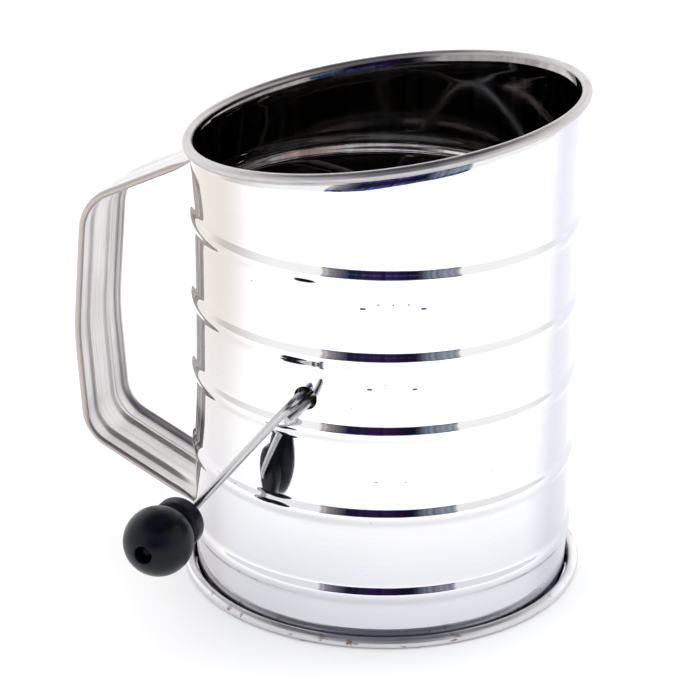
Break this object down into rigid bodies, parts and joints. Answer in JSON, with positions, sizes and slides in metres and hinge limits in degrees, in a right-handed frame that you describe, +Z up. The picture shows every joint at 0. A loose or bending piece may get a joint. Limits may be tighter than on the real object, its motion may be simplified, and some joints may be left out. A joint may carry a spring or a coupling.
{
  "type": "flour sifter",
  "caption": "Hand-cranked flour sifter: beaded steel cup with a slanted rolled mouth, side handle, domed wire screen, and a wire crank with a ball knob that turns stirring bows",
  "frame": {"origin": "where the body's axis meets the surface that the sifter stands on", "axes": "+Z up along the body's axis; -X towards the handle; +X within five degrees of the high side of the mouth; -Y towards the crank"},
  "size_m": [0.1556, 0.1556, 0.1515],
  "materials": {
    "polished_steel": "polished",
    "hoop_steel": "satin",
    "woven_wire": "woven",
    "satin_steel": "satin",
    "bright_wire": "drawn",
    "washer_steel": "satin",
    "black_plastic": "satin gloss"
  },
  "bodies": {
    "shell": {"body_shell": "polished_steel", "screen_hoop": "hoop_steel", "screen_cloth": "woven_wire", "handle_strap": "satin_steel"},
    "crank": {"crank_wire": "bright_wire", "cross_wire": "bright_wire", "knob_washer": "washer_steel"},
    "knob_body": {"knob": "black_plastic"}
  },
  "joints": [
    {"name": "crank_turn", "type": "hinge", "parent": "shell", "child": "crank", "pos_m": [0, 0, 0.0752], "axis": [0, 1, 0], "continuous": true},
    {"name": "knob_spin", "type": "hinge", "parent": "crank", "child": "knob_body", "pos_m": [-0.03214, -0.084, 0.0369], "axis": [0, -1, 0], "continuous": true}
  ]
}
